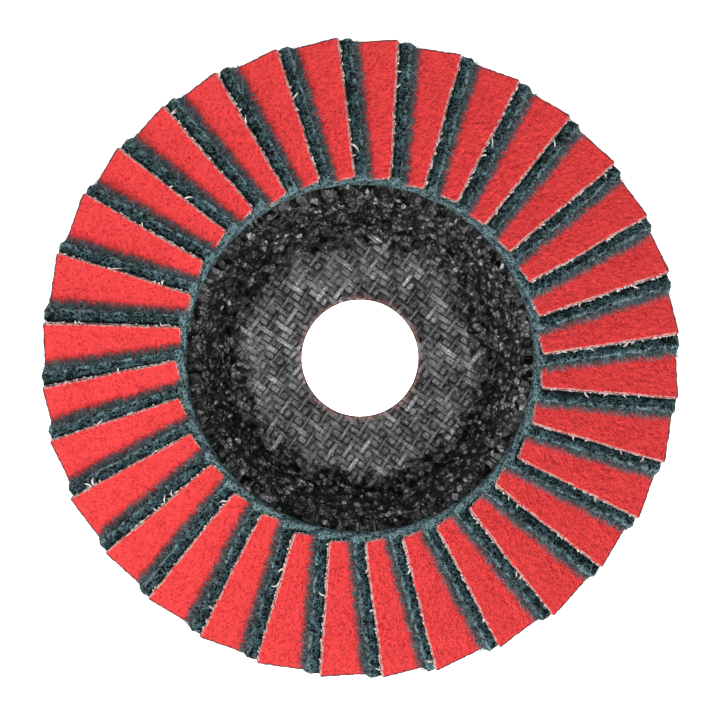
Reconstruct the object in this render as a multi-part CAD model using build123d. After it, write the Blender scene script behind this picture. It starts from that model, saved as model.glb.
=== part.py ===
from build123d import *

import os
from math import atan2, cos, degrees, radians, sin, sqrt, tan

# An interleaved flap disc of 125 mm, in millimetres and degrees. The axis is Z, the back of the
# hub lies at Z = 0, and the working face with its flaps looks up. Abrasive flaps and fleece flaps
# take turns round the ring. Each flap leans: its free edge is the high one, on the clockwise side
# as seen from above, and its surface runs down anticlockwise, under the flaps that follow it.

# The disc as a whole
DISC_RADIUS = 62.5  # to the outer corners of the abrasive flaps
BORE_RADIUS = 11.115  # the standard bore of 22.23 mm
FLAP_PAIRS = 32

# The backing plate: a flat hub, a wall that rises round it to a crest, and a conical ring
PLATE_RADIUS = 53.5
PLATE_THICKNESS = 2.5
HUB_RADIUS = 24.6  # where the hub's front and the wall would meet in a sharp corner
CREST_RADIUS = 30.6  # where the wall and the ring would meet in a sharp corner
RECESS_DEPTH = 7.2  # from the sharp corner at the crest down to the hub's front
CONE_ANGLE = 12.0  # how far the ring falls away towards its rim
HUB_ROUNDING = 4.0  # of the plate's front, in the hollow round the hub
CREST_ROUNDING = 2.4  # of the plate's front, over the crest; the back has a plain corner there
RIM_CHAMFER = 0.5

# The ring of steel sheet that lines the bore, pressed in from the back
RING_SHEET = 0.3
RING_ENTRY = 0.25  # the chamfer at the back that leads the grinder's boss in
FLANGE_WIDTH = 2.9  # of the flange, out from the bore
RING_CLEARANCE = 0.02  # between the ring and the plate, all round

# The bed of adhesive that holds the flaps' feet
BED_INNER_RADIUS = 34.5
BED_RIM = 0.8  # how far the bed stays back from the plate's rim
BED_THICKNESS = 1.2

# The flaps
LEAN_ANGLE = 24.0  # between a flap's surface and the ring, across the flap
FLAP_RISE = 7.0  # of the abrasive flap's free edge above the bed
EDGE_OFFSET = 3.3  # of that edge, clockwise from the radius that it runs along
FLAP_INNER_RADIUS = 35.4  # to the inner corner of the abrasive flap's free edge
ABRASIVE_THICKNESS = 1.15
FLEECE_STEP = 2.15  # how far the fleece stands out from under the abrasive flap on top of it
FLEECE_REACH = 1.9  # how much nearer to the axis the fleece ends
FLEECE_SETBACK = 0.15  # how much sooner it ends at the rim

PITCH = 360 / FLAP_PAIRS
FLEECE_PER_NODE = 2
CUT_ROOM = 12.0  # that a blank has below and beyond the planes it is cut to

HUB_FRONT = PLATE_THICKNESS
CREST_HEIGHT = HUB_FRONT + RECESS_DEPTH
FLANGE_RADIUS = BORE_RADIUS + FLANGE_WIDTH
BED_OUTER_RADIUS = PLATE_RADIUS - BED_RIM


def ring_height(radius, above=0.0):
    """The height over the hub's back of a point that stands this far off the ring's front."""
    fall = (radius - CREST_RADIUS) * tan(radians(CONE_ANGLE))
    return CREST_HEIGHT - fall + above / cos(radians(CONE_ANGLE))


def backing_plate():
    """Woven glass in resin, pressed as one shell of even thickness."""
    front = FilletPolyline(
        (BORE_RADIUS, HUB_FRONT),
        (HUB_RADIUS, HUB_FRONT),
        (CREST_RADIUS, CREST_HEIGHT),
        (PLATE_RADIUS, ring_height(PLATE_RADIUS)),
        radius=[HUB_ROUNDING, CREST_ROUNDING],
    )
    shell = make_face(offset(front, PLATE_THICKNESS, side=Side.RIGHT))
    rim = shell.vertices().sort_by(Axis.X)[-2:]
    return revolve(Plane.XZ * (chamfer(rim, RIM_CHAMFER) - ring_seat()), Axis.Z)


def ring_seat():
    """Half the section of the hole through the hub, with the shallow seat for the ring's flange."""
    depth = RING_SHEET + RING_CLEARANCE
    hole = Rectangle(BORE_RADIUS + depth, HUB_FRONT + CUT_ROOM, align=Align.MIN)
    return hole + Rectangle(FLANGE_RADIUS + RING_CLEARANCE, depth, align=Align.MIN)


def bore_ring():
    """A sleeve through the hub, drawn in one piece with the flange let into the hub's back."""
    outside = Polyline((BORE_RADIUS, HUB_FRONT), (BORE_RADIUS, 0), (FLANGE_RADIUS, 0))
    section = make_face(offset(outside, RING_SHEET, side=Side.LEFT, kind=Kind.INTERSECTION))
    entry = section.vertices().sort_by_distance((BORE_RADIUS, 0))[0]
    return revolve(Plane.XZ * chamfer(entry, RING_ENTRY), Axis.Z)


def adhesive_bed():
    """A ring of cured resin on the front of the plate's cone, of even thickness."""
    section = Polyline(
        (BED_INNER_RADIUS, ring_height(BED_INNER_RADIUS)),
        (BED_INNER_RADIUS, ring_height(BED_INNER_RADIUS, BED_THICKNESS)),
        (BED_OUTER_RADIUS, ring_height(BED_OUTER_RADIUS, BED_THICKNESS)),
        (BED_OUTER_RADIUS, ring_height(BED_OUTER_RADIUS)),
        close=True,
    )
    return revolve(Plane.XZ * make_face(section), Axis.Z)


def flap_face(place, below=0.0):
    """The upper face of an abrasive flap, or a face that far below it.

    Its origin is the inner corner of the free edge. X runs outward along that edge, Y runs
    anticlockwise down the flap, and Z looks out of the face. Places count anticlockwise round
    the disc, a whole number to each abrasive flap.
    """
    start = sqrt(FLAP_INNER_RADIUS**2 - EDGE_OFFSET**2)
    corner = Pos(start, -EDGE_OFFSET, ring_height(start, BED_THICKNESS + FLAP_RISE))
    tilt = Rot(Y=CONE_ANGLE) * Rot(X=-LEAN_ANGLE)
    return Plane(Rot(Z=place * PITCH) * corner * tilt * Pos(Z=-below))


def bed_face(place):
    """The plane on which a flap's foot stands: it touches the cone of the bed under the foot."""
    foot_offset = FLAP_RISE / tan(radians(LEAN_ANGLE)) - EDGE_OFFSET
    middle = (FLAP_INNER_RADIUS + DISC_RADIUS) / 2
    turn = place * PITCH + degrees(atan2(foot_offset, middle))
    touch = Pos(middle, 0, ring_height(middle, BED_THICKNESS))
    return Plane(Rot(Z=turn) * touch * Rot(Y=CONE_ANGLE))


def flap_length():
    """The length of an abrasive flap's free edge, from its inner corner to the disc's rim."""
    start = sqrt(FLAP_INNER_RADIUS**2 - EDGE_OFFSET**2)
    end = sqrt(DISC_RADIUS**2 - EDGE_OFFSET**2)
    return (end - start) / cos(radians(CONE_ANGLE))


def flap_drop():
    """The length of a blank down the slope, past the bed."""
    return FLAP_RISE / sin(radians(LEAN_ANGLE)) + CUT_ROOM


def abrasive_flap(place):
    """A slab of coated cloth, cut square, with its foot on the bed."""
    corner = (Align.MIN, Align.MIN, Align.MAX)
    blank = flap_face(place) * Box(flap_length(), flap_drop(), ABRASIVE_THICKNESS, align=corner)
    return split(blank, bed_face(place), keep=Keep.TOP)


def fleece_flap(place):
    """A pad of fleece pressed into the room between two abrasive flaps, so that it is thinner
    near the axis. It lies on the flap of this place, and the next flap lies on it."""
    corner = (Align.MIN, Align.MIN, Align.MAX)
    length = flap_length() + FLEECE_REACH - FLEECE_SETBACK
    blank = Pos(-FLEECE_REACH, -FLEECE_STEP) * Box(length, flap_drop(), CUT_ROOM, align=corner)
    blank = flap_face(place + 1, below=ABRASIVE_THICKNESS) * blank
    pressed = split(blank, flap_face(place), keep=Keep.TOP)
    return split(pressed, bed_face(place + 0.5), keep=Keep.TOP)


def write(shape, node):
    """Writes one sub-part to its own file."""
    shape.label = node
    export_step(shape, f"parts/{node}.step")


os.makedirs("parts", exist_ok=True)
write(backing_plate(), "backing_plate")
write(bore_ring(), "bore_ring")
write(adhesive_bed(), "adhesive_bed")
for number in range(FLAP_PAIRS):
    write(abrasive_flap(number), f"abrasive_flap_{number + 1:02d}")
for number in range(0, FLAP_PAIRS, FLEECE_PER_NODE):
    pads = [fleece_flap(number + step) for step in range(FLEECE_PER_NODE)]
    write(Compound(children=pads), f"fleece_flaps_{number // FLEECE_PER_NODE + 1:02d}")
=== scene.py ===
import itertools
from math import cos, pi, radians, sin

import bpy
import numpy as np
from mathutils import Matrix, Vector


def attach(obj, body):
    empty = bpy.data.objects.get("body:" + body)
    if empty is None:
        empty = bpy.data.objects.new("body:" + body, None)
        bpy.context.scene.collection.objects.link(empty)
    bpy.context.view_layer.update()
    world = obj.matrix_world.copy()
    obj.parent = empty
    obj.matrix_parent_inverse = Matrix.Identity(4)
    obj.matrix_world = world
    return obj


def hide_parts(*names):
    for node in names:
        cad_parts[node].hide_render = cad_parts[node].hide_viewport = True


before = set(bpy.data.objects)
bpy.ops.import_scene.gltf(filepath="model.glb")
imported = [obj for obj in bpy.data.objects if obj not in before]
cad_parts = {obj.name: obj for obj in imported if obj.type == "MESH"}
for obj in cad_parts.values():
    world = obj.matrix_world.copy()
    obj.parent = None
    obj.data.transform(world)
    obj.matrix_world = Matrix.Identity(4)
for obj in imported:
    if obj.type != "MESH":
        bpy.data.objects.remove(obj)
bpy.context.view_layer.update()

# An interleaved flap disc, finished for the eye. Lengths are in millimetres until a mesh is made.
MM = 0.001
FLAP_PAIRS = sum(name.startswith("abrasive_flap_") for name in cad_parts)
PADS_PER_NODE = FLAP_PAIRS // sum(name.startswith("fleece_flaps_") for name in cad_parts)
SEED = 7
SAME_PLACE = 0.02  # between two corners, or a corner and a plane, that count as one

# The view of the photo: seen along the axis, with the disc turned by this much
CAMERA_ROLL = radians(7.12)
CAMERA_DISTANCE = 0.7  # in metres, from the height of the flaps' outer corners
RIM_EDGE_HEIGHT = 11.3
PHOTO_WIDTH_PX = 720
PHOTO_SCALE = 0.194  # millimetres to a pixel, at that height
PHOTO_OFFSET_PX = 1.94  # of the disc's centre above the middle of the photo

# The studio, in metres and watts
KEY_TURN = radians(255)  # of the key light round the disc, anticlockwise from the photo's right
KEY_FAR, KEY_HIGH, KEY_POWER, KEY_SIZE = 0.5, 0.55, 3.7, 0.35
TOP_HIGH, TOP_POWER, TOP_SIZE = 0.95, 6.9, 0.45
WORLD_STRENGTH = 0.14
FLOOR_GLOW = 0.8
FLOOR_HALF = 1.5  # of its side

# How each flap departs from its place in CAD
SWING_SPREAD = 0.8  # in degrees, of the flaps that are not named below
SKEWED = {1: 1.8, 14: -3.8, 15: -2.2, 16: 3.0, 17: 5.0, 26: -4.6, 27: -2.4, 28: -2.8}  # degrees
PIVOT = 5.0  # from a flap's inner end to the point that it is skewed about
PAD_FOLLOWS = 0.6  # the share of a flap's skew that the fleece under it has too
PUSH = 0.3  # of the free edge, down or up the slope at most
SLIDE, SLIDE_TURN = 0.35, radians(285)  # how far off centre the inner ends stand, and to which side
SLIDE_SPREAD = 0.25  # of each inner end by itself
REACH = (-0.3, 0.1)  # outward at the rim
WAVE_DEPTH, WAVE_LENGTH = 0.12, 6.0  # of the free edge

# The coated cloth of the abrasive flaps
GRAIN_STEP = 0.36  # between grid lines where the grain shows
GRAIN_COAT = 0.35  # the thickness of the grain and its resin
GRAIN_HEIGHT = 0.16  # of the grain's relief
SHOWN_WIDTH = 9.6  # of a flap, down its slope, before the next fleece covers it
CLOTH_CORNER = 0.55  # the rounding of a flap's outline
CLOTH_EDGE = 0.09  # the rounding of its upper and lower edges
TORN_DEPTH = 0.16  # of the bare cloth's unevenness at its cut edges

# The fleece
FLEECE_STEP = 0.36  # between grid lines where the fleece shows
FLEECE_SHOWN = 3.2  # of a pad, down its slope, before the next cloth covers it
FLEECE_ROUND = (0.5, 0.85, 0.75)  # of a pad's edges, along it, down the slope and upward
FLEECE_PROUD = 0.06  # how far a pad's crowns stand out of its CAD form
FLEECE_SWELL = 0.9  # of a pad's inner end, where no cloth presses it
PRESSED_ALONG = (1.3, 1.8)  # where the swell ends, from the inner end
PRESSED_DOWN = (1.6, 2.8)  # and where it starts, from the free end
FLEECE_TUCK = (0.5, 0.9)  # how far a pad's inner end stays back, and how much more at its foot
TUCK_STRETCH = 5.0  # of a pad's length, over which it is pushed back
FLEECE_UNDERCUT = 0.6  # of a pad's free end, from its upper edge down to the cloth under it
UNDERCUT_STRETCH = 3.0  # down the slope, over which the undercut runs out
FLEECE_LUMP = 0.3  # the depth of the hollows between its lumps
CUT_INNER = (1.3, 2.2)  # where paler fibre and painted light fade out, from the inner end
CUT_OUTER = (0.2, 1.0)  # from the outer end
CUT_FREE = (0.0, 0.7)  # and from the free end
FIBRES = 340  # loose ones that are modelled on each pad, besides those of its skirt
SKIRT_FIBRES = 560  # straight ones that reach from a pad's free end over the cloth under it
SKIRT_REACH = 1.55
FIBRE_RADIUS = 0.055

# The frayed edges of the cloth
FRAY_PITCH = 0.6  # between clumps of threads along the free edge
CLUMP_THREADS = 5
END_THREADS = 12  # at a flap's inner end
FRAY_RADIUS = 0.1

# Fibres and threads are tubes of three sides, and those that curl have three stations
TUBE_SIDES = 3
CURL_STATIONS = 3

# The plate's relief: woven glass on the hub, and broken resin on the wall round it
YARN_PITCH = 2.44
YARN_HALVES = (0.21, 0.25)  # half of the width of the yarns of each direction, in pitches
YARN_STARTS = (1.5, 0.5)  # which set the yarns of each direction over those of the other
WEAVE_TURN = radians(47.5)
WEAVE_DEPTH = 0.42
CHIP_SIZE = 1.5
CHIP_DEPTH = 0.55
WALL_RADII = (22.0, 27.6)  # between which the weave gives way to broken resin
STAIN_RADII = (11.4, 13.0)  # between which the stain round the bore fades
PLATE_SPOKES = 560
PLATE_FRONT_STEP = 0.26
PLATE_BACK_STEP = 0.8
PLATE_SHOWN_RADIUS = 34.2  # beyond which the bed covers the plate's front
PLATE_HIDDEN_STEP = 6.0

# The relief fades between these radii, so that the plate keeps its CAD form beside other parts
CALM_AT_BORE = (12.0, 12.8)
CALM_AT_FLANGE = (14.2, 15.2)
CALM_AT_BED = (33.6, 34.4)
CALM_AT_RIM = (0.6, 1.2)  # in from the plate's rim


def unit(vectors):
    """These vectors, each made one long."""
    size = np.linalg.norm(vectors, axis=-1, keepdims=True)
    return vectors / np.maximum(size, 1e-12)


def smooth_step(low, high, values):
    """0 below the first limit, 1 above the second, and a smooth rise between them."""
    part = np.clip((values - low) / (high - low), 0, 1)
    return part * part * (3 - 2 * part)


NOISE_TABLE = np.random.default_rng(SEED).uniform(-1, 1, 1 << 16)
NOISE_PRIMES = np.array([73856093, 19349663, 83492791])  # for the three axes
NOISE_SEED_PRIME = 7919


def corner_weights(shares):
    """The corners of a cell, each with its weight for points at these shares of the cell's sides."""
    for corner in itertools.product((0, 1), repeat=3):
        yield corner, np.prod(np.where(corner, shares, 1 - shares), axis=1)


def noise(points, cell, seed):
    """Smooth random values from -1 to 1 in space, with one random value to each corner of a cell.
    The seed sets one use of it apart from the others."""
    scaled = points / cell
    base = np.floor(scaled).astype(np.int64)
    total = np.zeros(len(points))
    for corner, weight in corner_weights(smooth_step(0, 1, scaled - base)):
        place = (base + corner) @ NOISE_PRIMES + seed * NOISE_SEED_PRIME
        total += NOISE_TABLE[place % len(NOISE_TABLE)] * weight
    return total


# -------- meshes


def add_object(name, data):
    """An object in the scene, made from its data."""
    made = bpy.data.objects.new(name, data)
    bpy.context.scene.collection.objects.link(made)
    return made


def make_piece(name, points, faces, materials, choice=None, values=None):
    """A mesh piece from points in millimetres, with its own numbers stored on its points."""
    mesh = bpy.data.meshes.new(name)
    mesh.from_pydata((points * MM).tolist(), [], faces)
    for material in materials:
        mesh.materials.append(material)
    if choice is not None:
        mesh.polygons.foreach_set("material_index", choice)
    for label, numbers in (values or {}).items():
        layer = mesh.attributes.new(label, "FLOAT", "POINT")
        layer.data.foreach_set("value", np.asarray(numbers, np.float32))
    mesh.polygons.foreach_set("use_smooth", np.ones(len(mesh.polygons), bool))
    mesh.update()
    piece = add_object(name, mesh)
    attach(piece, "root")
    return piece


def node_points(name):
    """The points of a CAD node's mesh, in millimetres."""
    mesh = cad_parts[name].data
    flat = np.empty(len(mesh.vertices) * 3)
    mesh.vertices.foreach_get("co", flat)
    return flat.reshape(-1, 3) / MM


def node_corners(name):
    """The corners of a CAD node's solids, in millimetres, each once."""
    corners = []
    for point in node_points(name):
        if all(np.linalg.norm(point - other) > SAME_PLACE for other in corners):
            corners.append(point)
    return np.array(corners)


def flap_axes(corners):
    """The frame of an abrasive flap, from its eight corners: the inner corner of the free edge,
    and as rows the directions out along that edge, down the slope, and out of the face."""
    start = corners[corners[:, 2].argmax()]
    arms = corners - start
    order = np.linalg.norm(arms, axis=1).argsort()
    normal = -unit(arms[order[1]])
    in_face = [arm for arm in arms[order[2:]] if abs(arm @ normal) < SAME_PLACE]
    along = unit(max(in_face[:2], key=lambda arm: np.hypot(*(start + arm)[:2])))
    return start, np.array([along, np.cross(normal, along), normal])


def block_corners(corners, start, axes):
    """The eight corners of a slab in order: inner and outer, free edge and foot, under and upper."""
    local = (corners - start) @ axes.T
    ordered = np.empty((2, 2, 2, 3))
    by_length = corners[local[:, 0].argsort()]
    for end, four in enumerate((by_length[:4], by_length[4:])):
        heights = (four - start) @ axes[2]
        for layer, pair in enumerate(np.split(four[heights.argsort()], 2)):
            down_slope = (pair - start) @ axes[1]
            ordered[end, :, layer] = pair[down_slope.argsort()]
    return ordered


def block_size(block):
    """The length of a slab's free edge, its mean width down the slope, and its mean thickness at
    the free edge, in millimetres."""
    length = np.linalg.norm(block[1, 0, 1] - block[0, 0, 1])
    width = np.linalg.norm(block[:, 1, 1] - block[:, 0, 1], axis=-1).mean()
    thickness = np.linalg.norm(block[:, 0, 1] - block[:, 0, 0], axis=-1).mean()
    return np.array([length, width, thickness])


def into_block(block, shares):
    """Points of a slab from their shares of its length, width and thickness."""
    total = np.zeros((len(shares), 3))
    for corner, weight in corner_weights(shares):
        total += weight[:, None] * block[corner]
    return total


def grid_lines(length, step, shown=None, coarse=3.0):
    """Places of grid lines: evenly as far as the surface shows, and then wide apart."""
    shown = length if shown is None else min(shown, length)
    fine = np.linspace(0, shown, max(2, round(shown / step) + 1))
    rest = length - shown
    if rest < step:
        return fine
    wide = shown + np.linspace(0, rest, max(2, round(rest / coarse) + 1))
    return np.concatenate([fine, wide[1:]])


def box_grid(xs, ys, zs):
    """The surface of a box as one grid: its points, and its faces by side. The under side, which
    always lies on something, is a single face."""
    shape = (len(xs), len(ys), len(zs))
    used = np.ones(shape, bool)
    used[1:-1, 1:-1, :-1] = False
    index = np.full(shape, -1)
    index[used] = np.arange(used.sum())
    spots = np.nonzero(used)
    points = np.stack([line[spot] for line, spot in zip((xs, ys, zs), spots)], axis=1)
    sides = {}
    for axis, name in enumerate(("inner outer", "free foot", "under upper")):
        for end, side in zip((0, -1), name.split()):
            layer = np.take(index, end, axis=axis)
            if side == "under":
                rim = [*layer[:, 0], *layer[-1, 1:], *layer[-2::-1, -1], *layer[0, -2:0:-1]]
                sides[side] = [[int(spot) for spot in rim[::-1]]]
                continue
            quads = np.stack([layer[:-1, :-1], layer[1:, :-1], layer[1:, 1:], layer[:-1, 1:]], axis=-1)
            quads = quads.reshape(-1, 4)
            if (end == 0) != (axis == 1):
                quads = quads[:, ::-1]
            sides[side] = quads.tolist()
    return points, sides


def rounded(points, size, radius):
    """Points of a box's surface, moved to the box's rounded form, with their outward directions."""
    radius = np.broadcast_to(radius, 3)
    core = np.clip(points, radius, size - radius)
    out = unit((points - core) / radius)
    return core + out * radius, out


def tubes(paths, radii):
    """Closed tubes that taper as their radii say. Paths are strands by stations by 3."""
    count, stations, _ = paths.shape
    ahead = unit(np.gradient(paths, axis=1))
    any_way = np.roll(ahead[:, -1:] + (0.31, 0.57, 0.83), 1, axis=-1)
    helper = unit(np.cross(ahead[:, :1], any_way))
    across = unit(np.cross(ahead, helper))
    above = np.cross(ahead, across)
    turns = np.arange(TUBE_SIDES)[:, None] * 2 * pi / TUBE_SIDES
    ring = across[:, :, None] * np.cos(turns) + above[:, :, None] * np.sin(turns)
    points = paths[:, :, None] + ring * radii[:, :, None, None]
    index = np.arange(count * stations * TUBE_SIDES).reshape(count, stations, TUBE_SIDES)
    ahead_of = np.roll(index, -1, axis=2)
    quads = np.stack([index[:, :-1], ahead_of[:, :-1], ahead_of[:, 1:], index[:, 1:]], axis=-1)
    caps = np.concatenate([index[:, 0, ::-1], index[:, -1]])
    return points.reshape(-1, 3), quads.reshape(-1, 4).tolist() + caps.tolist()


def curls(starts, ahead, aside, length, radius_of_curl):
    """Arcs that set off ahead and turn aside, as strands by stations by 3."""
    along = np.linspace(0, 1, CURL_STATIONS)[None, :, None] * length[:, None, None]
    curl = radius_of_curl[:, None, None]
    turned = along / curl
    arc = np.sin(turned) * ahead[:, None] + (1 - np.cos(turned)) * aside[:, None]
    return starts[:, None] + curl * arc


# -------- materials


def add_node(tree, kind, inputs=None, **settings):
    """A shader node with its settings, and with its inputs linked or set."""
    made = tree.nodes.new(kind)
    for name, value in settings.items():
        setattr(made, name, value)
    for name, value in (inputs or {}).items():
        socket = made.inputs[name]
        if isinstance(value, bpy.types.NodeSocket):
            tree.links.new(value, socket)
        else:
            socket.default_value = (*value, 1) if socket.type == "RGBA" else value
    return made


def start_material(name, **constants):
    """A material with its principled shader, whose constant sockets are set here."""
    material = bpy.data.materials.new(name)
    material.use_nodes = True
    tree = material.node_tree
    shader = tree.nodes["Principled BSDF"]
    for socket, value in constants.items():
        shader.inputs[socket.replace("_", " ")].default_value = value
    spot = add_node(tree, "ShaderNodeTexCoord").outputs["Object"]
    return material, tree, shader, spot


def noise_at(tree, spot, size, detail=2.0, roughness=0.5):
    """A noise texture with features of this size in millimetres."""
    inputs = {"Vector": spot, "Scale": 1 / (size * MM), "Detail": detail, "Roughness": roughness}
    return add_node(tree, "ShaderNodeTexNoise", inputs).outputs["Fac"]


def cells_at(tree, spot, size, output="Distance"):
    """A pattern of cells of this size in millimetres."""
    inputs = {"Vector": spot, "Scale": 1 / (size * MM)}
    return add_node(tree, "ShaderNodeTexVoronoi", inputs).outputs[output]


def ramp(tree, value, *stops):
    """Colours or greys along a value, from stops of place and colour."""
    made = add_node(tree, "ShaderNodeValToRGB", {"Fac": value})
    elements = made.color_ramp.elements
    while len(elements) < len(stops):
        elements.new(0.5)
    for element, (place, colour) in zip(elements, stops):
        grey = isinstance(colour, (int, float))
        element.position = place
        element.color = (colour, colour, colour, 1) if grey else (*colour, 1)
    return made.outputs["Color"]


def strands_at(tree, spot, size):
    """Thin winding strokes, like fibres that cross, from 0 between them to 1 on them."""
    stops = ((0.44, 0.0), (0.49, 1.0), (0.51, 1.0), (0.56, 0.0))
    return ramp(tree, noise_at(tree, spot, size, 2), *stops)


def arithmetic(tree, operation, *values, kind="ShaderNodeMath"):
    """The values, or vectors, put together by this operation."""
    return add_node(tree, kind, dict(enumerate(values)), operation=operation).outputs[0]


def times(tree, first, second):
    """The product of two values."""
    return arithmetic(tree, "MULTIPLY", first, second)


def minus(tree, first, second):
    """The first value less the second."""
    return arithmetic(tree, "SUBTRACT", first, second)


def blend(tree, share, first, second, mode="MIX"):
    """Two colours mixed by a share."""
    inputs = {0: share, 6: first, 7: second}
    made = add_node(tree, "ShaderNodeMix", inputs, data_type="RGBA", blend_type=mode)
    return made.outputs[2]


def darkened(tree, colour, *by):
    """A colour multiplied by others, one after the other."""
    for factor in by:
        colour = blend(tree, 1.0, colour, factor, "MULTIPLY")
    return colour


def stored(tree, label):
    """A number that the mesh keeps on its points."""
    return add_node(tree, "ShaderNodeAttribute", attribute_name=label).outputs["Fac"]


def bumped(tree, shader, height, depth):
    """Gives the shader a bump of this depth in millimetres."""
    made = add_node(tree, "ShaderNodeBump", {"Height": height, "Distance": depth * MM})
    tree.links.new(made.outputs["Normal"], shader.inputs["Normal"])


def grain_material():
    """Red ceramic grain in red resin. It has broken away along the cut edges, and it is dark
    along the rim."""
    material, tree, shader, spot = start_material("red_grain", Roughness=0.78, Specular_IOR_Level=0.3)
    crystal = cells_at(tree, spot, 0.34, "Color")
    chance = add_node(tree, "ShaderNodeSeparateColor", {0: crystal}).outputs[0]
    stops = ((0.0, (0.52, 0.014, 0.018)), (0.25, (0.74, 0.036, 0.040)), (1.0, (0.86, 0.058, 0.058)))
    tone = ramp(tree, chance, *stops)
    drift = ramp(tree, noise_at(tree, spot, 4.0, 3), (0.3, 0.88), (0.7, 1.0))
    tone = darkened(tree, tone, drift)
    speck = ramp(tree, cells_at(tree, spot, 1.7), (0.07, 1.0), (0.12, 0.0))
    tone = blend(tree, times(tree, speck, 0.45), tone, (0.13, 0.014, 0.016))
    ragged = times(tree, noise_at(tree, spot, 0.6, 2), 0.7)
    near_cut = minus(tree, ragged, stored(tree, "edge_mm"))
    tone = blend(tree, ramp(tree, near_cut, (0.29, 0.0), (0.38, 1.0)), tone, (0.56, 0.36, 0.32))
    near_rim = minus(tree, ragged, stored(tree, "rim_mm"))
    tone = blend(tree, ramp(tree, near_rim, (0.0, 0.0), (0.1, 0.9)), tone, (0.07, 0.03, 0.03))
    tree.links.new(tone, shader.inputs["Base Color"])
    uneven = noise_at(tree, spot, 0.55, 4, 0.6)
    fine = arithmetic(tree, "MULTIPLY_ADD", uneven, 1.6, cells_at(tree, spot, 0.3))
    height = arithmetic(tree, "MULTIPLY_ADD", noise_at(tree, spot, 1.0, 1), 3.0, fine)
    bumped(tree, shader, height, 0.14)
    return material


def mottled_material(name, mottle, stops, grain=None, **constants):
    """A material whose colour drifts with noise of this size and detail, between these stops. The
    size and detail of its bump, and the bump's depth, are its grain."""
    material, tree, shader, spot = start_material(name, **constants)
    tone = ramp(tree, noise_at(tree, spot, *mottle), *stops)
    tree.links.new(tone, shader.inputs["Base Color"])
    if grain:
        *bump, depth = grain
        bumped(tree, shader, noise_at(tree, spot, *bump), depth)
    return material


def cotton_material():
    """The cotton cloth under the grain, seen where it is cut or torn: off-white in patches, and dark
    red-brown in others, which paint the shade on the cut face.
    """
    # painted shade: the dark stops darken most of the cut face
    stops = ((0.46, (0.09, 0.018, 0.018)), (0.58, (0.22, 0.09, 0.085)), (0.68, (0.66, 0.54, 0.50)))
    constants = {"Roughness": 0.9, "Specular_IOR_Level": 0.2, "Sheen_Weight": 0.3}
    return mottled_material("cotton_cloth", (0.36, 3), stops, (0.16, 3, 0.05), **constants)


def thread_material():
    """The frayed threads of the cotton, paler than the cloth because no resin has reached them."""
    stops = ((0.3, (0.66, 0.52, 0.48)), (0.6, (0.93, 0.88, 0.85)))
    constants = {"Roughness": 0.85, "Specular_IOR_Level": 0.2, "Sheen_Weight": 0.3}
    return mottled_material("cotton_thread", (0.5, 3), stops, (0.1, 2, 0.03), **constants)


def adhesive_material():
    """The cured bed that the flaps stand in, a dark resin."""
    stops = ((0.35, (0.012, 0.013, 0.014)), (0.65, (0.050, 0.046, 0.042)))
    return mottled_material("cured_adhesive", (1.5, 4), stops, (0.9, 4, 0.3), Roughness=0.5)


def floor_material():
    """The pale paper of the floor, which glows a little so that it stays white in the picture."""
    glow = {"Emission_Color": (1, 1, 1, 1), "Emission_Strength": FLOOR_GLOW}
    return mottled_material("pale_floor", (60, 2), ((0.3, 0.86), (0.7, 0.88)), Roughness=0.9, **glow)


def fleece_material():
    """Dark teal fleece, with painted shade in its hollows and under the next cloth. Paler fibre shows
    at the cuts, and the same pale colour paints light on the top of a pad's inner end.
    """
    material, tree, shader, spot = start_material("teal_fleece", Roughness=0.9, Specular_IOR_Level=0.12)
    strokes = arithmetic(tree, "MAXIMUM", strands_at(tree, spot, 0.8), strands_at(tree, spot, 1.2))
    stops = ((0.0, (0.002, 0.003, 0.004)), (0.5, (0.017, 0.038, 0.044)), (1.0, (0.072, 0.135, 0.150)))
    tone = ramp(tree, strokes, *stops)
    # the pale colour of the cut fibre, which also paints light on the pad's top near its inner end and
    # on its free end
    lit = ramp(tree, strokes, (0.0, (0.014, 0.028, 0.032)), (1.0, (0.20, 0.32, 0.345)))
    tone = blend(tree, stored(tree, "cut_fibre_and_light"), tone, lit)
    # painted shade: darkens the fleece in its hollows and where the next cloth overhangs it
    shade = ramp(tree, stored(tree, "hollow_and_shade"), (0.2, 1.0), (0.75, 0.12))
    tree.links.new(darkened(tree, tone, shade), shader.inputs["Base Color"])
    bumped(tree, shader, noise_at(tree, spot, 0.2, 4, 0.7), 0.12)
    return material


def fibre_material():
    """The loose fibres of the fleece, from dark resin-coated ones to pale bare ones."""
    material, tree, shader, spot = start_material("teal_fibre", Roughness=0.6, Specular_IOR_Level=0.4)
    tone = ramp(
        tree,
        stored(tree, "shade"),
        (0.0, (0.004, 0.009, 0.011)),
        (0.4, (0.022, 0.052, 0.058)),
        (0.75, (0.090, 0.180, 0.200)),
        (1.0, (0.34, 0.45, 0.48)),
    )
    knots = ramp(tree, noise_at(tree, spot, 0.3, 2), (0.3, 0.7), (0.7, 1.0))
    tree.links.new(darkened(tree, tone, knots), shader.inputs["Base Color"])
    return material


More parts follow.
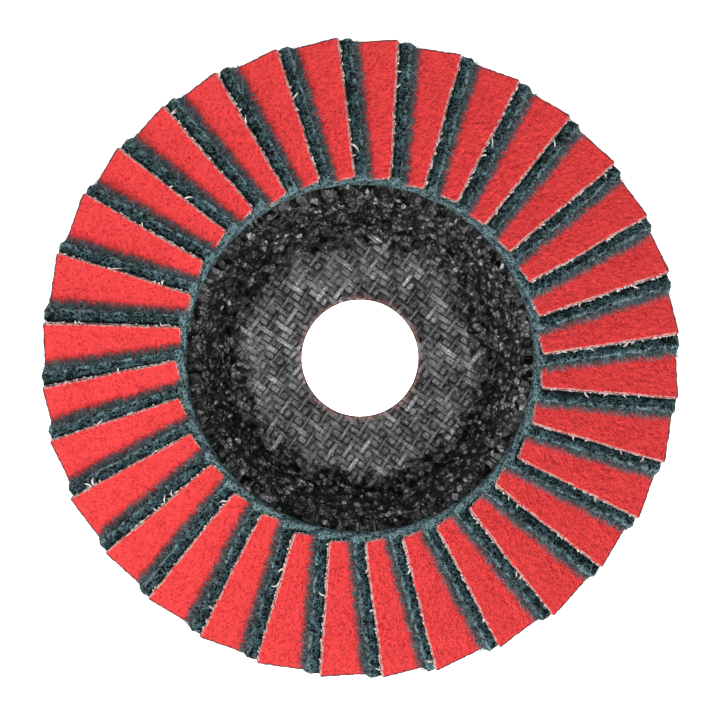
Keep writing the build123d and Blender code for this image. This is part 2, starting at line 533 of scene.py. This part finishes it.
def yarn(tree, ahead, across, half, start):
    """One direction of a plain weave, from the place along its yarns and across them: the height
    from 0 to about 1, and a random number for each stretch that is in view."""
    row = arithmetic(tree, "FLOOR", across)
    off = minus(tree, arithmetic(tree, "FRACT", across), 0.5)
    within = minus(tree, half, arithmetic(tree, "ABSOLUTE", off))
    body = ramp(tree, within, (0.0, 0.0), (0.05, 1.0))
    shifted = arithmetic(tree, "ADD", arithmetic(tree, "ADD", ahead, start), row)
    place = times(tree, shifted, 0.5)
    stretch = arithmetic(tree, "FLOOR", place)
    part = minus(tree, arithmetic(tree, "FRACT", place), 0.5)
    fall = arithmetic(tree, "MULTIPLY_ADD", times(tree, part, part), -3.2, 1.0)
    height = times(tree, body, fall)
    spot = add_node(tree, "ShaderNodeCombineXYZ", {0: stretch, 1: row, 2: start}).outputs[0]
    chance = add_node(tree, "ShaderNodeTexWhiteNoise", {"Vector": spot})
    slopes = add_node(tree, "ShaderNodeSeparateColor", {0: chance.outputs["Color"]}).outputs
    tilt = times(tree, minus(tree, slopes[0], 0.5), off)
    tilt = arithmetic(tree, "MULTIPLY_ADD", minus(tree, slopes[1], 0.5), part, tilt)
    height = arithmetic(tree, "MULTIPLY_ADD", times(tree, tilt, 0.9), body, height)
    return height, chance.outputs["Value"]


def cloth_layer(tree, shift):
    """The upper surface of a plain-woven cloth, from the places that the mesh keeps: its height
    from 0 to about 1, and a random number for each stretch of yarn."""
    u = arithmetic(tree, "ADD", stored(tree, "yarn_u"), shift)
    v = arithmetic(tree, "ADD", stored(tree, "yarn_v"), shift)
    height_u, random_u = yarn(tree, u, v, YARN_HALVES[0], YARN_STARTS[0])
    height_v, random_v = yarn(tree, v, u, YARN_HALVES[1], YARN_STARTS[1])
    first = arithmetic(tree, "GREATER_THAN", height_u, height_v)
    random = add_node(tree, "ShaderNodeMix", {0: first, 2: random_v, 3: random_u}).outputs[0]
    return arithmetic(tree, "MAXIMUM", height_u, height_v), random


def chips_at(tree, spot, size):
    """Flat chips of this size that tilt at random: their height in millimetres, and their tone,
    which is dark between the chips."""
    inputs = {"Vector": spot, "Scale": 1 / (size * MM)}
    cells = add_node(tree, "ShaderNodeTexVoronoi", inputs)
    vectors = "ShaderNodeVectorMath"
    scaled = add_node(tree, vectors, {0: spot, 3: 1 / (size * MM)}, operation="SCALE")
    arm = arithmetic(tree, "SUBTRACT", scaled.outputs[0], cells.outputs["Position"], kind=vectors)
    way = arithmetic(tree, "SUBTRACT", cells.outputs["Color"], (0.5, 0.5, 0.5), kind=vectors)
    slope = add_node(tree, vectors, {0: arm, 1: way}, operation="DOT_PRODUCT")
    height = times(tree, slope.outputs["Value"], size * 1.5)
    random = add_node(tree, "ShaderNodeSeparateColor", {0: cells.outputs["Color"]}).outputs[2]
    tone = ramp(tree, random, (0.0, 0.015), (0.35, 0.06), (0.7, 0.36), (1.0, 1.7))
    borders = add_node(tree, "ShaderNodeTexVoronoi", inputs, feature="DISTANCE_TO_EDGE")
    gap = ramp(tree, borders.outputs["Distance"], (0.03, 0.1), (0.12, 1.0))
    return height, darkened(tree, tone, gap)


def filaments(tree):
    """Streaks across both directions of yarn, like the filaments in it, from 0 to 1."""
    u, v = stored(tree, "yarn_u"), stored(tree, "yarn_v")
    streaks = []
    for stretch_u, stretch_v in ((0.8, 9.0), (9.0, 0.8)):
        across_u = times(tree, u, stretch_u)
        across_v = times(tree, v, stretch_v)
        spot = add_node(tree, "ShaderNodeCombineXYZ", {0: across_u, 1: across_v, 2: 0.0}).outputs[0]
        inputs = {"Vector": spot, "Scale": 1.0, "Detail": 2.0}
        streaks.append(add_node(tree, "ShaderNodeTexNoise", inputs).outputs["Fac"])
    return arithmetic(tree, "MINIMUM", *streaks)


def glass_material():
    """Woven glass under black resin, with a reddish stain round the bore. Each stretch of yarn has its
    own tilt and tone, and the brightest tones are painted highlights. Painted shade darkens the yarns
    where they dive, the lower layer, the pits and scattered spots. On the wall the resin has broken
    into glossy chips."""
    material, tree, shader, spot = start_material("woven_glass", Specular_IOR_Level=0.38)
    height, random = cloth_layer(tree, 0.0)
    under_height, under_random = cloth_layer(tree, 0.5)
    wall = stored(tree, "wall")

    # a random tone for each stretch of yarn, whose bright end paints highlights on it
    bar = ramp(tree, random, (0.0, 0.09), (0.4, 0.20), (0.7, 0.40), (1.0, 1.4))
    # painted shade: each yarn darkens where it dives under the crossing yarn
    bar = darkened(tree, bar, ramp(tree, height, (0.25, 0.35), (0.65, 1.0)))
    under = ramp(tree, under_random, (0.0, 0.02), (0.4, 0.08), (0.7, 0.34), (1.0, 1.3))
    # painted shade: the lower layer darkens towards the yarns that cover it
    under = darkened(tree, under, ramp(tree, under_height, (0.3, 0.05), (0.6, 1.0)))
    cover = ramp(tree, height, (0.2, 0.0), (0.3, 1.0))
    shown = blend(tree, cover, under, bar)
    shown = blend(tree, stored(tree, "flood"), shown, (0.20, 0.20, 0.20))
    chip_height, chip_tone = chips_at(tree, spot, 1.2)
    shown = blend(tree, wall, shown, chip_tone)
    streaks = ramp(tree, filaments(tree), (0.3, 0.25), (0.46, 0.8), (0.58, 1.6))
    # painted shade in the pits of the relief
    pit_shade = ramp(tree, stored(tree, "relief"), (0.1, 0.12), (0.6, 1.0))
    # dark spots painted as pits, where the surface has none
    painted_pits = ramp(tree, cells_at(tree, spot, 2.2), (0.10, 0.08), (0.18, 1.0))
    stops = ((0.3, (0.07, 0.07, 0.073)), (0.5, (0.20, 0.20, 0.21)), (0.7, (0.48, 0.48, 0.50)))
    resin = ramp(tree, noise_at(tree, spot, 0.28, 2, 0.6), *stops)
    tone = darkened(tree, shown, streaks, pit_shade, painted_pits, resin)
    ragged = ramp(tree, noise_at(tree, spot, 1.3, 4, 0.6), (0.42, 0.0), (0.60, 1.0))
    stained = times(tree, stored(tree, "stain"), ragged)
    tone = blend(tree, stained, tone, (0.17, 0.06, 0.045))
    tree.links.new(tone, shader.inputs["Base Color"])
    polish = ramp(tree, noise_at(tree, spot, 0.7, 3), (0.38, 0.22), (0.6, 0.48))
    tree.links.new(polish, shader.inputs["Roughness"])

    under_height = times(tree, under_height, 0.4)
    woven = times(tree, arithmetic(tree, "MAXIMUM", height, under_height), 0.5)
    chipped = times(tree, chip_height, 0.55)
    made = add_node(tree, "ShaderNodeMix", {0: wall, 2: woven, 3: chipped})
    height = arithmetic(tree, "MULTIPLY_ADD", filaments(tree), 0.10, made.outputs[0])
    bumped(tree, shader, height, 1.0)
    return material


def steel_material():
    """The plated sheet steel of the bore ring, with fine marks from drawing it."""
    material, tree, shader, spot = start_material("ring_steel", Metallic=1.0)
    dull, bright = (0.42, 0.38, 0.36), (0.72, 0.67, 0.64)
    tone = ramp(tree, noise_at(tree, spot, 0.8, 3), (0.3, dull), (0.7, bright))
    tree.links.new(tone, shader.inputs["Base Color"])
    rough = ramp(tree, noise_at(tree, spot, 0.4, 3), (0.3, 0.25), (0.7, 0.45))
    tree.links.new(rough, shader.inputs["Roughness"])
    bumped(tree, shader, noise_at(tree, spot, 0.25, 2), 0.01)
    return material


# -------- the flaps


def abrasive_cloth(number, corners, materials, chance):
    """One coated cloth flap, with its grain, and the frayed threads of its cut edges."""
    start, axes = flap_axes(corners)
    block = block_corners(corners, start, axes)
    size = block_size(block)
    layers = size[2] - np.array([size[2], size[2] * 0.6, GRAIN_COAT, GRAIN_COAT / 2, 0])
    xs = grid_lines(size[0], GRAIN_STEP)
    ys = grid_lines(size[1], GRAIN_STEP, SHOWN_WIDTH)
    plain, sides = box_grid(xs, ys, layers)
    outline, _ = rounded(plain, size, (CLOTH_CORNER, CLOTH_CORNER, 1e-6))
    local, out = rounded(outline, size, CLOTH_EDGE)
    values = {"edge_mm": np.minimum(plain[:, 0], plain[:, 1]), "rim_mm": size[0] - plain[:, 0]}

    swing = SWINGS[number - 1]
    push = chance.uniform(-PUSH, PUSH)
    turn = 2 * pi * (number - 1) / FLAP_PAIRS
    slide = SLIDE * cos(turn - SLIDE_TURN) + chance.normal(0, SLIDE_SPREAD)
    reach = chance.uniform(*REACH)

    def place(x, y, z, wave=0.0):
        """Points of the flap from places in millimetres, with the flap's small shifts."""
        down = y + (1 - y / size[1]) * (push + swing * (x - PIVOT) + wave)
        ahead = x + reach * x / size[0] + slide * (1 - x / size[0])
        return into_block(block, np.stack([ahead, down, z], axis=1) / size)

    along_edge = np.c_[local[:, 0], np.zeros((len(local), 2))]
    points = place(*local.T, wave=WAVE_DEPTH * noise(along_edge, WAVE_LENGTH, number))
    rough = 0.4 * noise(points, 0.45, 3) + 0.6 * noise(points, 0.9, 4)
    coated = smooth_step(size[2] - GRAIN_COAT - 0.02, size[2] - GRAIN_COAT / 2, local[:, 2])
    points += (out @ axes) * (coated * GRAIN_HEIGHT * (rough - 0.4))[:, None]
    torn = (1 - coated) * TORN_DEPTH * noise(points, 0.45, 5)
    points += (out @ axes) * torn[:, None]

    faces, choice = [], []
    for side, group in sides.items():
        faces += group
        if side in ("upper", "under"):
            choice += [int(side == "under")] * len(group)
        else:
            heights = [local[face, 2].mean() for face in group]
            choice += [int(height <= size[2] - GRAIN_COAT) for height in heights]
    name = f"abrasive_cloth_{number:02d}"
    piece = make_piece(name, points, faces, materials[:2], choice, values)
    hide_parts(f"abrasive_flap_{number:02d}")

    fray = frayed_edge(number, place, axes, size, materials[2], chance)


def frayed_edge(number, place, axes, size, material, chance):
    """The torn threads along the free edge and at the inner end of a flap."""
    along, down, up = axes
    cloth = size[2] - GRAIN_COAT

    clumps = int(size[0] / FRAY_PITCH)
    middle = chance.uniform(CLOTH_CORNER, size[0] - CLOTH_CORNER, clumps)
    most = 0.08 + 0.36 * chance.random(clumps) ** 3
    lean = chance.normal(0, 0.5, clumps)
    high = chance.uniform(0.35, 0.9, clumps) * cloth
    count = clumps * CLUMP_THREADS
    middle, most, lean, high = np.repeat([middle, most, lean, high], CLUMP_THREADS, axis=1)
    x = middle + chance.normal(0, 0.11, count)
    skew = (lean + chance.normal(0, 0.15, count))[:, None]
    ahead = unit(-down + skew * along + chance.uniform(-0.1, 0.5, (count, 1)) * up)
    aside = unit(chance.normal(0, 1, (count, 1)) * along + chance.normal(0, 0.6, (count, 1)) * up)
    starts = place(x, np.full(count, 0.12), high + chance.normal(0, 0.06, count))
    length = 0.12 + most * chance.uniform(0.5, 1.3, count)
    strands = [(starts, ahead, aside, length, chance.uniform(0.6, 1.5, count))]

    few = chance.integers(1, 4)
    x = chance.uniform(2, size[0] - 1, few)
    lean = chance.normal(0, 0.9, (few, 1))
    bend = unit(chance.normal(0, 1, (few, 1)) * along - 0.2 * up)
    length = chance.uniform(0.9, 2.2, few)
    for _ in range(CLUMP_THREADS):
        ahead = unit(-down + (lean + chance.normal(0, 0.13, (few, 1))) * along + 0.35 * up)
        starts = place(x + chance.normal(0, 0.07, few), np.full(few, 0.1), np.full(few, cloth * 0.8))
        reach = length * chance.uniform(0.6, 1.1, few)
        strands.append((starts, ahead, bend, reach, np.full(few, 2.5)))

    count = END_THREADS
    y = chance.uniform(0.3, 5.0, count)
    ahead = unit(-along + chance.normal(0, 0.5, (count, 1)) * down + 0.3 * up)
    starts = place(np.full(count, 0.08), y, chance.uniform(0.3, cloth, count))
    aside = np.repeat(down[None], count, axis=0)
    strands.append((starts, ahead, aside, chance.uniform(0.15, 0.45, count), np.ones(count)))

    paths = np.concatenate([curls(*strand) for strand in strands])
    taper = np.array([1.0, 0.8, 0.25])
    thick = FRAY_RADIUS * chance.uniform(0.6, 1.3, len(paths))
    points, faces = tubes(paths, thick[:, None] * taper)
    return make_piece(f"fray_{number:02d}", points, faces, [material])


def joined(parts):
    """Several parts as one, each of points, faces, choice of material and stored numbers."""
    faces, choice, shift = [], [], 0
    for points, own_faces, own_choice, _ in parts:
        faces += [[spot + shift for spot in face] for face in own_faces]
        choice += own_choice
        shift += len(points)
    points = np.concatenate([part[0] for part in parts])
    values = {label: np.concatenate([part[3][label] for part in parts]) for label in parts[0][3]}
    return points, faces, choice, values


def fleece_pad(block, axes, swing, chance):
    """One pad of fleece, as points, faces, choice of material and stored numbers."""
    size = block_size(block)
    xs = grid_lines(size[0], FLEECE_STEP)
    ys = grid_lines(size[1], FLEECE_STEP, FLEECE_SHOWN, 4.0)
    zs = grid_lines(size[2], FLEECE_STEP)
    plain, sides = box_grid(xs, ys, zs)
    local, out = rounded(plain, size, FLEECE_ROUND)

    def place(spots):
        """Points of the pad from places in millimetres: skewed, tucked back and swollen at the
        inner end, and undercut at the free end."""
        moved = spots.copy()
        moved[:, 1] += (1 - spots[:, 1] / size[1]) * swing * (spots[:, 0] - PIVOT)
        tuck = FLEECE_TUCK[0] + FLEECE_TUCK[1] * spots[:, 1] / size[1]
        moved[:, 0] += tuck * np.clip(1 - spots[:, 0] / TUCK_STRETCH, 0, 1)
        pressed = 1 - smooth_step(*PRESSED_DOWN, spots[:, 1]) + smooth_step(*PRESSED_ALONG, moved[:, 0])
        moved[:, 2] *= 1 + FLEECE_SWELL * np.clip(1 - pressed, 0, 1) / size[2]
        free = np.clip(1 - spots[:, 1] / UNDERCUT_STRETCH, 0, 1)
        moved[:, 1] += FLEECE_UNDERCUT * free * (1 - spots[:, 2] / size[2])
        return into_block(block, moved / size)

    points = place(local)
    lumps = 0.6 * noise(points, 0.6, 21) + 0.4 * noise(points, 1.3, 22)
    # the depth of each hollow, which shapes the pad and also sets its painted shade
    hollow_and_shade = np.clip(0.45 - lumps, 0, 1)
    # painted light: the pale cut colour reaches past the inner end onto the pad's top, which lies in
    # the shade of the cloth above
    inner = 1 - smooth_step(*CUT_INNER, plain[:, 0])
    points += (out @ axes) * (FLEECE_PROUD - FLEECE_LUMP * hollow_and_shade * (1 - 0.6 * inner))[:, None]
    outer = 1 - smooth_step(*CUT_OUTER, size[0] - plain[:, 0])
    end_face = 1 - smooth_step(*CUT_FREE, plain[:, 1])
    # paler fibre at the cuts, partly real and partly painted light
    cut_fibre_and_light = np.maximum.reduce([0.75 * inner, 0.8 * outer, end_face])
    # painted shade, not cast by the lamps: darker in the hollows, and a painted shadow towards where
    # the next cloth covers the pad
    under = smooth_step(FLEECE_SHOWN - 1.4, FLEECE_SHOWN - 0.8, plain[:, 1]) * (1 - inner)
    shadow = np.clip(hollow_and_shade * 0.8 * (1 - inner) + under, 0, 1)

    faces = [face for group in sides.values() for face in group]
    values = {"cut_fibre_and_light": cut_fibre_and_light, "hollow_and_shade": shadow, "shade": np.zeros(len(points))}
    parts = [(points, faces, [0] * len(faces), values)]
    for fibres in (surface_fibres, skirt_fibres):
        paths, radii, shade = fibres(place, size, axes, chance)
        points, faces = tubes(paths, radii)
        none = np.zeros(len(points))
        values = {"cut_fibre_and_light": none, "hollow_and_shade": none, "shade": np.repeat(shade, len(points) // len(shade))}
        parts.append((points, faces, [1] * len(faces), values))
    return joined(parts)


def surface_fibres(place, size, axes, chance):
    """Fibres that curl over a pad's top and its ends: their paths, radii and shades."""
    count = FIBRES
    kind = chance.choice(["top", "end", "rim"], count, p=[0.5, 0.3, 0.2])
    rim, end = kind == "rim", kind == "end"
    x = chance.uniform(0.1, size[0] - 0.8, count)
    x = np.where(rim, chance.uniform(0.0, 0.4, count), x)
    y = chance.uniform(0.1, FLEECE_SHOWN - 0.9, count) * np.where(rim, 2.5, 1)
    z = chance.uniform(0.05, size[2], count)
    spots = np.stack([x, np.where(end, 0, y), np.where(end, z, size[2])], axis=1)
    spots, way = rounded(spots, size, FLEECE_ROUND)
    way = way @ axes
    starts = place(spots) - way * 0.12
    ahead = chance.normal(0, 1, (count, 3))
    ahead = unit(ahead - (ahead * way).sum(axis=1, keepdims=True) * way)
    ahead += way * (chance.uniform(0, 1, count) * np.where(end, 0.7, 0.3))[:, None]
    crosswise = axes[1] * chance.choice([-1, 1], (count, 1)) + chance.normal(0, 0.25, (count, 3))
    ahead = unit(np.where(rim[:, None], crosswise, ahead))
    aside = unit(np.cross(ahead, way) * chance.choice([-1, 1], (count, 1)) - 0.35 * way)
    lengths = chance.uniform(0.5, 1.5, count) * np.where(size[0] - x < 1.5, 0.5, 1)
    bends = np.where(rim, 4.0, chance.uniform(0.4, 1.6, count))
    paths = curls(starts, ahead, aside, lengths, bends)
    radii = FIBRE_RADIUS * chance.uniform(0.7, 1.4, (count, 1)) * (0.8, 1.0, 0.4)
    paler = np.select([rim, end], [0.45, 0.2], 0)
    return paths, radii, np.clip(chance.uniform(0, 0.85, count) + paler, 0, 1)


def skirt_fibres(place, size, axes, chance):
    """Straight fibres that reach from a pad's free end over the cloth under it."""
    count = SKIRT_FIBRES
    z = size[2] * 0.7 * chance.random(count) ** 1.5 + 0.05
    spots = np.stack([chance.uniform(0.2, size[0] - 0.5, count), np.zeros(count), z], axis=1)
    starts = place(rounded(spots, size, FLEECE_ROUND)[0])
    lengths = SKIRT_REACH * chance.uniform(0.1, 1.0, (count, 1))
    room = np.minimum(spots[:, 0], size[0] - spots[:, 0])[:, None] / SKIRT_REACH
    sideways = np.clip(chance.normal(0, 0.9, (count, 1)), -room, room) * axes[0]
    rise = chance.uniform(-0.8, 0.1, (count, 1)) * (z[:, None] - 0.03) / lengths * axes[2]
    ends = starts + lengths * (sideways - axes[1] + rise)
    radii = FIBRE_RADIUS * chance.uniform(0.6, 1.2, (count, 1)) * (1.1, 0.5)
    return np.stack([starts + 0.15 * axes[1], ends], axis=1), radii, chance.uniform(0.35, 1.0, count)


def fleece_pads(number, frames, materials, chance):
    """The pads of one fleece node, as one piece."""
    name = f"fleece_flaps_{number:02d}"
    corners = node_corners(name)
    pads = []
    for step in range(PADS_PER_NODE):
        above = (number - 1) * PADS_PER_NODE + step + 1
        start, axes = frames[above % FLAP_PAIRS]
        block = block_corners(pad_of(corners, frames, above), start, axes)
        swing = SWINGS[above % FLAP_PAIRS] * PAD_FOLLOWS
        pads.append(fleece_pad(block, axes, swing, chance))
    points, faces, choice, values = joined(pads)
    label = f"fleece_pads_{number:02d}"
    piece = make_piece(label, points, faces, materials, choice, values)
    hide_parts(name)


def pad_of(corners, frames, above):
    """The eight corners of the pad under this flap, out of the corners of its node."""
    found = np.zeros(len(corners), bool)
    for flap, below in ((above, flap_thickness), (above - 1, 0)):
        start, axes = frames[flap % FLAP_PAIRS]
        found |= np.abs((corners - start) @ axes[2] + below) < SAME_PLACE
    return corners[found]


# -------- the plate


def plate_section():
    """The section of the CAD plate, in millimetres: its corners of radius and height, in order."""
    points = node_points("backing_plate")
    on_plane = (np.abs(points[:, 1]) < 0.002) & (points[:, 0] > 0)
    keys = {spot: tuple(points[spot, ::2].round(2)) for spot in np.nonzero(on_plane)[0]}
    nearby = {}
    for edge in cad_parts["backing_plate"].data.edges:
        a, b = edge.vertices
        if a in keys and b in keys and keys[a] != keys[b]:
            nearby.setdefault(keys[a], set()).add(keys[b])
            nearby.setdefault(keys[b], set()).add(keys[a])
    walk = [min(nearby, key=lambda key: (key[0], -key[1]))]
    while True:
        onward = [key for key in nearby[walk[-1]] if key not in walk]
        if not onward:
            return np.array(walk)
        walk.append(max(onward) if len(walk) == 1 else onward[0])


def resample(walk, step_at):
    """A closed walk with points as far apart as step_at says, and with its corners kept."""
    stops = []
    for start, end in zip(walk, np.roll(walk, -1, axis=0)):
        step = step_at((start + end) / 2)
        count = max(1, round(np.linalg.norm(end - start) / step))
        stops += [start + (end - start) * part / count for part in range(count)]
    return np.array(stops)


def yarn_places(points):
    """The places of points along the two directions of the yarns, in pitches. The yarns bend a
    little, as pressed cloth does."""
    bend = np.c_[noise(points, 8.0, 31), noise(points, 8.0, 32)] * 0.15
    flat = points[:, :2] / YARN_PITCH + bend
    u = flat[:, 0] * cos(WEAVE_TURN) + flat[:, 1] * sin(WEAVE_TURN)
    v = flat[:, 1] * cos(WEAVE_TURN) - flat[:, 0] * sin(WEAVE_TURN)
    return u, v


def yarn_height(ahead, across, half, start):
    """One direction of a plain weave, from the place along its yarns and across them: the height
    from 0 to about 1, with a random tilt for each stretch that is in view."""
    row = np.floor(across)
    off = across - row - 0.5
    body = 1 - np.clip(np.abs(off) / half, 0, 1) ** 4
    place = (ahead + start + row) / 2
    stretch = np.floor(place)
    part = place - stretch - 0.5
    cell = np.stack([stretch, row, np.full(len(row), start)], axis=1)
    tilt = 0.5 * noise(cell, 1.0, 34) * part + 0.5 * noise(cell, 1.0, 35) * off
    return body * (0.9 - 2.9 * part**2 + 0.1 * noise(cell, 1.0, 33) + tilt)


def weave(u, v):
    """The relief of a plain-woven cloth over another, from 0 in the pits to 1 on the crowns."""
    layers = []
    for shift, most in ((0, 1.0), (0.5, 0.4)):
        over_u = yarn_height(u + shift, v + shift, YARN_HALVES[0], YARN_STARTS[0])
        over_v = yarn_height(v + shift, u + shift, YARN_HALVES[1], YARN_STARTS[1])
        layers.append(most * np.maximum(over_u, over_v))
    return np.clip(np.maximum(*layers), 0, 1.2)


def noise_vectors(cells, seed):
    """A random vector to each of these cells, from this seed and the two after it."""
    return np.stack([noise(cells, 1.0, seed + axis) for axis in range(3)], axis=1)


def chips(points):
    """The relief of the broken, resin-filled cloth on the wall: cells that tilt at random, from
    0 to 1."""
    scaled = points / CHIP_SIZE
    base = np.floor(scaled)
    nearest = np.full(len(points), np.inf)
    height = np.zeros(len(points))
    for step in itertools.product((-1, 0, 1), repeat=3):
        cell = base + step
        arm = scaled - (cell + 0.5 + 0.42 * noise_vectors(cell, 50))
        gap = (arm**2).sum(axis=1)
        level = 0.55 + 0.3 * noise(cell, 1.0, 70) + 0.75 * (arm * noise_vectors(cell, 60)).sum(axis=1)
        closer = gap < nearest
        height = np.where(closer, level, height)
        nearest = np.minimum(nearest, gap)
    return np.clip(height - 0.5 * smooth_step(0.16, 0.45, nearest), 0, 1.2)


def plate_shell(material):
    """The backing plate as one shell, with its glass cloth and its broken resin in relief."""
    walk = plate_section()
    radii = np.linspace(walk[:, 0].min(), walk[:, 0].max(), 200)
    middle_line = [section_middle(walk, radius) for radius in radii]

    def on_front(stop):
        return stop[1] > np.interp(stop[0], radii, middle_line)

    def step_at(stop):
        if not on_front(stop):
            return PLATE_BACK_STEP
        return PLATE_FRONT_STEP if stop[0] < PLATE_SHOWN_RADIUS else PLATE_HIDDEN_STEP

    stops = resample(walk, step_at)
    ahead = np.roll(stops, -1, axis=0) - np.roll(stops, 1, axis=0)
    normal = unit(np.c_[-ahead[:, 1], ahead[:, 0]])
    if normal[stops[:, 1].argmax()][1] < 0:
        normal = -normal
    points, out = turned_round(stops), turned_round(normal)

    radius = np.hypot(points[:, 0], points[:, 1])
    front = np.repeat([on_front(stop) for stop in stops], PLATE_SPOKES)
    u, v = yarn_places(points)
    uneven = 1.6 * noise(points, 2.5, 42) + 0.8 * noise(points, 0.9, 44)
    wall = smooth_step(*WALL_RADII, radius + uneven) * front
    flood = smooth_step(0.05, 0.6, noise(points, 3.2, 43)) * 0.8
    relief = weave(u, v) * (1 - wall) + chips(points) * wall
    relief += (0.75 - relief) * flood * (1 - wall)

    calm = smooth_step(*CALM_AT_BORE, radius) * smooth_step(*CALM_AT_RIM, walk[:, 0].max() - radius)
    calm *= np.where(front, 1 - smooth_step(*CALM_AT_BED, radius), smooth_step(*CALM_AT_FLANGE, radius))
    depth = WEAVE_DEPTH + (CHIP_DEPTH - WEAVE_DEPTH) * wall
    points += out * (calm * depth * (relief - 1.0))[:, None]

    index = np.arange(len(points)).reshape(len(stops), PLATE_SPOKES)
    below, beside = np.roll(index, -1, axis=0), np.roll(index, -1, axis=1)
    quads = np.stack([index, below, np.roll(below, -1, axis=1), beside], axis=-1).reshape(-1, 4)
    first = points[quads[0]]
    if np.cross(first[1] - first[0], first[3] - first[0]) @ out[quads[0, 0]] < 0:
        quads = quads[:, ::-1]
    values = {
        "relief": 1 - calm * (1 - relief),
        "yarn_u": u,
        "yarn_v": v,
        "wall": wall,
        "flood": flood,
        "stain": front * (1 - smooth_step(*STAIN_RADII, radius)),
    }
    piece = make_piece("plate_shell", points, quads.tolist(), [material], values=values)
    broken = wall[quads].mean(axis=1) > 0.5
    piece.data.polygons.foreach_set("use_smooth", ~broken)
    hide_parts("backing_plate")


def turned_round(profile):
    """The profile's points of radius and height, or its directions, turned round the axis."""
    turns = np.arange(PLATE_SPOKES) * 2 * pi / PLATE_SPOKES
    radius, height = profile[:, :1], np.broadcast_to(profile[:, 1:], (len(profile), PLATE_SPOKES))
    return np.stack([radius * np.cos(turns), radius * np.sin(turns), height], axis=-1).reshape(-1, 3)


def section_middle(walk, radius):
    """The middle height of the plate's section at a radius."""
    heights = []
    for start, end in zip(walk, np.roll(walk, -1, axis=0)):
        low, high = sorted((start[0], end[0]))
        if low <= radius <= high and high > low:
            part = (radius - start[0]) / (end[0] - start[0])
            heights.append(start[1] + (end[1] - start[1]) * part)
    return (min(heights) + max(heights)) / 2 if heights else 0.0


# -------- the studio


def add_area_light(name, place, power, size):
    """A square soft white light that looks at the disc."""
    data = bpy.data.lights.new(name, "AREA")
    data.energy = power
    data.size = size
    light = add_object(name, data)
    light.location = place
    light.rotation_euler = (-Vector(place)).to_track_quat("-Z", "Y").to_euler()


def studio():
    """The pale floor, the soft lights and the camera above the disc."""
    scene = bpy.context.scene
    scene.view_settings.view_transform = "Standard"

    world = bpy.data.worlds.new("studio")
    scene.world = world
    world.use_nodes = True
    background = world.node_tree.nodes["Background"]
    background.inputs["Color"].default_value = (1, 1, 1, 1)
    background.inputs["Strength"].default_value = WORLD_STRENGTH

    turn = KEY_TURN - CAMERA_ROLL
    place = (KEY_FAR * cos(turn), KEY_FAR * sin(turn), KEY_HIGH)
    add_area_light("key", place, KEY_POWER, KEY_SIZE)
    add_area_light("top", (0, 0, TOP_HIGH), TOP_POWER, TOP_SIZE)

    mesh = bpy.data.meshes.new("floor")
    corners = [(x * FLOOR_HALF, y * FLOOR_HALF, 0) for x, y in ((-1, -1), (1, -1), (1, 1), (-1, 1))]
    mesh.from_pydata(corners, [], [(0, 1, 2, 3)])
    mesh.materials.append(floor_material())
    floor = add_object("floor", mesh)

    data = bpy.data.cameras.new("camera")
    camera = add_object("camera", data)
    scene.camera = camera
    camera.rotation_euler = (0, 0, -CAMERA_ROLL)
    drop = PHOTO_OFFSET_PX * PHOTO_SCALE * MM
    height = RIM_EDGE_HEIGHT * MM + CAMERA_DISTANCE
    camera.location = (-drop * sin(CAMERA_ROLL), -drop * cos(CAMERA_ROLL), height)
    data.sensor_width = 36
    data.lens = data.sensor_width * CAMERA_DISTANCE / (PHOTO_WIDTH_PX * PHOTO_SCALE * MM)
    data.clip_start = 0.01


chance = np.random.default_rng(SEED)
SWINGS = np.tan(np.radians(chance.normal(0, SWING_SPREAD, FLAP_PAIRS)))
for number, degrees in SKEWED.items():
    SWINGS[number - 1] = np.tan(radians(degrees))
studio()

cloth_materials = [grain_material(), cotton_material(), thread_material()]
fleece_materials = [fleece_material(), fibre_material()]

flap_corners = [node_corners(f"abrasive_flap_{number + 1:02d}") for number in range(FLAP_PAIRS)]
frames = [flap_axes(corners) for corners in flap_corners]
flap_thickness = block_size(block_corners(flap_corners[0], *frames[0]))[2]
for number, corners in enumerate(flap_corners):
    abrasive_cloth(number + 1, corners, cloth_materials, chance)
for number in range(FLAP_PAIRS // PADS_PER_NODE):
    fleece_pads(number + 1, frames, fleece_materials, chance)

plate_shell(glass_material())
for node, material in (("bore_ring", steel_material()), ("adhesive_bed", adhesive_material())):
    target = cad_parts[node]
    target.data.materials.clear()
    target.data.materials.append(material)
